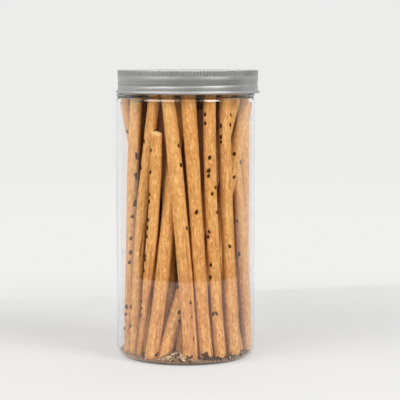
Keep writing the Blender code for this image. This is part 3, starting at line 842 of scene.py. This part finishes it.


# Baked crust: a yellow and an orange tan in lengthways streaks, with rusty patches, light and dark
# mottling, burnt specks, pale crumb on cut ends and red-brown splits. Broken pieces are pale low
# down, painted bounce light, and what lies deep inside is darker higher up, painted shade. Every
# stick is a little darker just under the lid, a painted shadow of the lid.
def crustShader(wire):
    straight = wire.attribute("straight", 1)
    tone, bare, split = (wire.attribute(name) for name in ("tone", "bare", "split"))
    streaks, patches, mottle, lines = (
        straight.stretched(1, along).noise(*waves) for along, *waves in crustGrain.values())
    specks = straight.stretched(1, 0.6).cells(330)
    flecks = straight.stretched(1, 0.7).cells(410)
    height = wire.place().along(2)
    low = 1 - height.between(0.015, 0.085)
    # painted shade on the sticks deep inside
    inside = wire.maths("MAXIMUM", tone - 1, 0)
    # painted bounce light on the broken pieces
    broken = wire.maths("MAXIMUM", tone - 2, 0)
    tan = tone * 0.7 + streaks.between(0.35, 0.68) * 0.45 + low * 0.35 - 0.15
    colour = tan.blend(crustLook["yellow"], crustLook["orange"])
    layers = (
        (patches.between(0.48, 0.68) * (low * 0.5 + 0.4), "rusty"),
        (lines.between(0.5, 0.75) * (low * 0.35 + 0.5), "dark"),
        ((1 - lines.between(0.25, 0.48)) * (low * 0.3 + 0.5), "light"),
        (mottle.between(0.5, 0.75) * (low * 0.1 + 0.75), "light"),
        ((1 - mottle.between(0.24, 0.5)) * (low * 0.25 + 0.65), "dark"),
        ((1 - flecks.between(0.08, 0.2)) * 0.5, "light"),
        ((1 - specks.between(0.03, 0.15)) * 0.5, "brown"),
        (split * 0.85, "red"),
        (bare * 0.9, "crumb"),
        # painted bounce light: broken pieces in the gaps are paler low down
        (broken * 0.75 * (1 - height.between(0.018, 0.045)), "pale"),
        # painted shade: sticks deep inside are darker higher up
        (inside * height.between(0.04, 0.1) * 0.9, "paintedDeepShade"),
        # a painted shadow of the lid on every stick just under it
        (height.between(0.151, 0.158) * 0.2, "dark"),
    )
    for share, title in layers:
        colour = share.blend(colour, crustLook[title])
    relief = streaks * 0.3 + lines * -0.35 + mottle * 0.8
    return wire.principled(colour, mottle * 0.16 + 0.56, relief.bump(0.95, 0.0006),
                           {"Specular IOR Level": 0.3})


# Nearly black skin with a little brown.
def seedShader(wire):
    shade = wire.place().noise(900)
    colour = shade.between(0.35, 0.7).blend((0.03, 0.009, 0.001), (0.09, 0.03, 0.004))
    relief = wire.place().noise(3500).bump(0.4, 0.0001)
    return wire.principled(colour, shade * 0.2 + 0.5, relief, {"Specular IOR Level": 0.1})


# Crumbs of crust and of what is inside it.
def crumbShader(wire):
    shade = wire.place().noise(600, 1.0)
    colour = shade.between(0.4, 0.7).blend((0.30, 0.15, 0.06), (0.86, 0.64, 0.40))
    return wire.principled(colour, 0.8, wire.place().noise(5000).bump(0.5, 0.0001))


# Grey-brown dust, and paler crumbs where the bed is sandy.
def bedShader(wire):
    grain = wire.place().noise(1400, 3.0, 0.7)
    dust = grain.between(0.35, 0.65).blend((0.17, 0.10, 0.06), (0.42, 0.27, 0.17))
    pale = grain.between(0.35, 0.65).blend((0.28, 0.14, 0.055), (0.66, 0.42, 0.21))
    colour = (wire.attribute("sandy") * 1.3 + (grain - 0.5) * 0.8).blend(dust, pale)
    return wire.principled(colour, 0.85, grain.bump(0.6, 0.0006), {"Specular IOR Level": 0.2})


# all tints but the clear one are painted shade: the neck under the lid, the foot, and a painted contact
# shadow where the jar rests
plasticLook = {
    "clear": (0.985, 0.992, 0.992),
    "neck": (0.74, 0.74, 0.78),  # above the bead
    "foot": (0.84, 0.72, 0.62),
    "paintedContactShadow": (0.03, 0.018, 0.01),
}


# Clear plastic: glass for what is seen through it or mirrored in it, open to the lamps' light. Its
# tint is painted shade: grey at the neck under the lid, brown in the lowest 4 mm and nearly black
# where the jar rests, a painted contact shadow.
def clearShader(wire):
    place = wire.place()
    high = place.along(2)
    shadowRay, matt = (wire.node("ShaderNodeLightPath", {}, {}, output) for output in (1, 2))
    # painted shade at the neck and the foot, and a painted contact shadow where the jar rests
    tint = high.between(0.1593, 0.1599).blend(plasticLook["clear"], plasticLook["neck"])
    tint = (1 - high.between(0.003, 0.005)).blend(tint, plasticLook["foot"])
    tint = (1 - high.between(0.001, 0.0018)).blend(tint, plasticLook["paintedContactShadow"])
    ripples = place.stretched(1, 0.25).noise(70, 1.0).bump(0.08, 0.0006)
    glass = wire.principled(tint, 0.0, ripples, {"IOR": 1.5, "Transmission Weight": 1.0})
    clear = wire.node("ShaderNodeBsdfTransparent", {}, {"Color": plasticLook["clear"]})
    return wire.maths("MAXIMUM", shadowRay, matt).mixShader(glass, clear)


# Satin aluminium: a fine blasted grain with faint rolling lines round the lid, painted shade in its
# creases and between its ribs, and smoother on top.
def lidShader(wire):
    place = wire.place()
    rolled = place.stretched(0.15, 6).noise(900)
    grain = place.noise(5200, 2.0, 0.6)
    onTop = place.along(2).between(0.1758, 0.176)
    metal = place.noise(60).between(0.3, 0.7).blend((0.42, 0.423, 0.412), (0.46, 0.463, 0.452))
    # painted shade in the creases and between the ribs
    colour = (wire.attribute("shade") * 0.6).blend(metal, (0.11, 0.11, 0.105))
    roughness = grain * 0.10 + rolled * 0.06 + 0.42 - onTop * 0.24
    relief = (grain * 0.6 + rolled * 0.4).bump(0.25, 0.00005)
    return wire.principled(colour, roughness, relief, {"Metallic": 1.0})


# The loose seeds: where they lie against the wall, tumbled, with their backs roughly to it.
def looseSeedPlaces(draw):
    across, height = np.array(looseSeeds, float).T
    places = np.stack([across, -np.sqrt((innerRadius(height) - 0.65) ** 2 - across**2), height], 1)
    lengthways = draw.normal(0, 1, (len(places), 3))
    outwards = unit(unit(places * (1, 1, 0)) + draw.normal(0, 0.4, places.shape))
    lengthways -= outwards * (lengthways * outwards).sum(1, keepdims=True)
    return places, unit(lengthways), outwards


crust = newMaterial("baked_crust", crustShader)
pieces = [
    stickPiece("front_sticks", range(firstHidden), 150, 40, crust),
    stickPiece("back_sticks", range(firstHidden, firstInner), 110, 32, crust),
    stickPiece("inner_sticks", range(firstInner, stickCount), 60, 24, crust),
]
seedDraw = np.random.default_rng(31)
seeds = [np.concatenate(pair) for pair in zip(seedPlaces(), looseSeedPlaces(seedDraw))]
sizes = np.array(seedShape["size"]) * seedDraw.uniform(*seedShape["vary"], (len(seeds[0]), 3))
pieces += [
    seedPiece("sesame_seeds", *seeds, sizes, newMaterial("black_sesame", seedShader)),
    bedPiece("crumb_bed", newMaterial("crumb_dust", bedShader)),
    crumbPiece("crumbs", newMaterial("rusk_crumbs", crumbShader)),
]
jar = jarPiece("clear_jar", newMaterial("clear_plastic", clearShader))
toJar = Matrix.Translation((jarShape["shift"] * mm, 0, 0))
for piece in (*pieces, jar):
    piece.data.transform(toJar)
for piece in pieces:
    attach(piece, "root")
    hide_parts("rusk_sticks")
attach(jar, "root")
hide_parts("jar")
lid = lidPiece("screw_lid", newMaterial("satin_aluminium", lidShader))
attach(lid, "root")
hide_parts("lid")
print("pieces made")


studio = {
    "camera": (-0.0005, -0.96137, 0.18668),
    "pitch": 0.093945,
    "yaw": 0.0092048,
    "lens": 141.04,
    "aim": 0.09,  # the height that the lights look at
    "backdrop": 0.84,
    "ambient": 0.24,
    "floor": (0.68, 0.678, 0.674),
    "floorGlow": (0.87, 0.868, 0.862),
    "nearFloor": 0.39,  # how far in front the floor shows in reflections
    "farFloor": 3,
    "bandShade": 0.88,
    "room": 0.03,
    "roomTurns": (-84, 94),
    "roomSize": (1.7, 0.9),  # radius and half height
}
# degrees right of the front, height angle, distance, width and height, watts
lights = {
    "key": (48, 36, 1.5, (0.6, 0.9), 15.6),
    "fill": (-48, 36, 1.5, (1.4, 0.9), 17.6),
    "overhead": (170, 72, 1.3, (0.8, 0.8), 4),
    "front": (9, 3, 1.2, (0.7, 0.24), 2.2),  # for the gaps between the sticks
}


# A mesh that belongs to the studio.
def stagePiece(name, points, faces, material):
    mesh = bpy.data.meshes.new(name)
    mesh.from_pydata(points, [], faces)
    mesh.materials.append(material)
    made = newObject(name, mesh)
    return made


# Near the jar half of the floor glows, painted light that softens the jar's shadow; further out it
# glows as the backdrop does and fades into it. A faint grey band of painted shadow lies behind the
# jar.
def floorShader(wire):
    place = wire.place()
    x, y = place.along(0), place.along(1)
    far = wire.node("ShaderNodeVectorMath", {"operation": "LENGTH"}, {0: place}, 1)
    line = y - x * 0.25
    strength = x.between(-0.07, 0.06) * 0.32 + 0.28
    # painted shadow: a soft grey band behind the jar
    band = line.between(-0.02, 0.12) * (1 - line.between(0.235, 0.26)) * strength
    matt, glow = (band.blend(studio[name], tuple(studio["bandShade"] * c for c in studio[name]))
                  for name in ("floor", "floorGlow"))
    matt = wire.node("ShaderNodeBsdfDiffuse", {}, {"Color": matt})
    glow = wire.node("ShaderNodeEmission", {}, {"Color": glow})
    # half glow near the jar, painted light that softens its shadow
    solid = (far.between(0.12, 0.4) * 0.5 + 0.5).mixShader(matt, glow)
    return far.between(0.7, 1.8).mixShader(solid, wire.node("ShaderNodeBsdfTransparent"))


# An even faint glow.
def roomShader(wire):
    return wire.node("ShaderNodeEmission", {}, {"Color": (1, 0.98, 0.95), "Strength": studio["room"]})


# A dim room in front, which only reflections meet: part of a ring round the jar.
def roomPiece(name):
    count = 40
    turn = np.radians(np.linspace(*studio["roomTurns"], count) - 90)
    radius, half = studio["roomSize"]
    points = np.concatenate([turned(radius, -half, turn), turned(radius, half, turn)])
    k = np.arange(count - 1)
    faces = np.stack([k, k + 1, k + count + 1, k + count], 1).tolist()
    made = stagePiece(name, points, faces, newMaterial(name, roomShader))
    made.visible_camera = made.visible_diffuse = made.visible_shadow = False


# A level sheet inside an outline.
def floorPiece(name, outline):
    return stagePiece(name, [(x, y, 0) for x, y in outline], [range(len(outline))], floorLook)


# The floor's front part ends in a half circle for reflections; the rest only the camera sees.
floorLook = newMaterial("studio_floor", floorShader)
near, end = studio["nearFloor"], studio["farFloor"]
edge = [(near * math.sin(t), -near * math.cos(t)) for t in np.radians(np.linspace(-90, 90, 49))]
floorPiece("floor", [(-end, 0), *edge, (end, 0), (end, end), (-end, end)])
outer = floorPiece("outer_floor", [(-end, 0), (-end, -end), (end, -end), (end, 0), *edge[::-1]])
outer.visible_glossy = outer.visible_transmission = False
roomPiece("dim_room")

# An even pale backdrop that gives matt surfaces less light than it shows.
world = bpy.data.worlds.new("backdrop")
bpy.context.scene.world = world
sky = emptyTree(world)
onMatt = sky.node("ShaderNodeLightPath", {}, {}, 2)
glow = sky.node("ShaderNodeBackground", {}, {
    "Color": (1, 0.998, 0.992),
    "Strength": studio["backdrop"] - onMatt * (studio["backdrop"] - studio["ambient"])})
sky.node("ShaderNodeOutputWorld", {}, {"Surface": glow}, None)


# A soft light that looks at the jar's middle.
def softLight(name, azimuth, elevation, distance, size, power):
    lamp = bpy.data.lights.new(name, "AREA")
    lamp.shape = "RECTANGLE"
    lamp.size, lamp.size_y = size
    lamp.energy = power
    made = newObject(name, lamp)
    a, e = math.radians(azimuth), math.radians(elevation)
    back = np.array((math.sin(a) * math.cos(e), -math.cos(a) * math.cos(e), math.sin(e)))
    made.location = back * distance + (0, 0, studio["aim"])
    made.rotation_euler = (math.pi / 2 - e, 0, a)
    return made


lamps = {name: softLight(name, *values) for name, values in lights.items()}
# the front one isn't mirrored in the jar
lamps["front"].visible_glossy = lamps["front"].visible_transmission = False

camera = newObject("camera", bpy.data.cameras.new("camera"))
camera.location = studio["camera"]
camera.rotation_euler = (math.pi / 2 - studio["pitch"], 0, -studio["yaw"])
camera.data.lens = studio["lens"]
camera.data.sensor_width = 36
bpy.context.scene.camera = camera
bpy.context.scene.view_settings.view_transform = "Standard"
print("studio set")
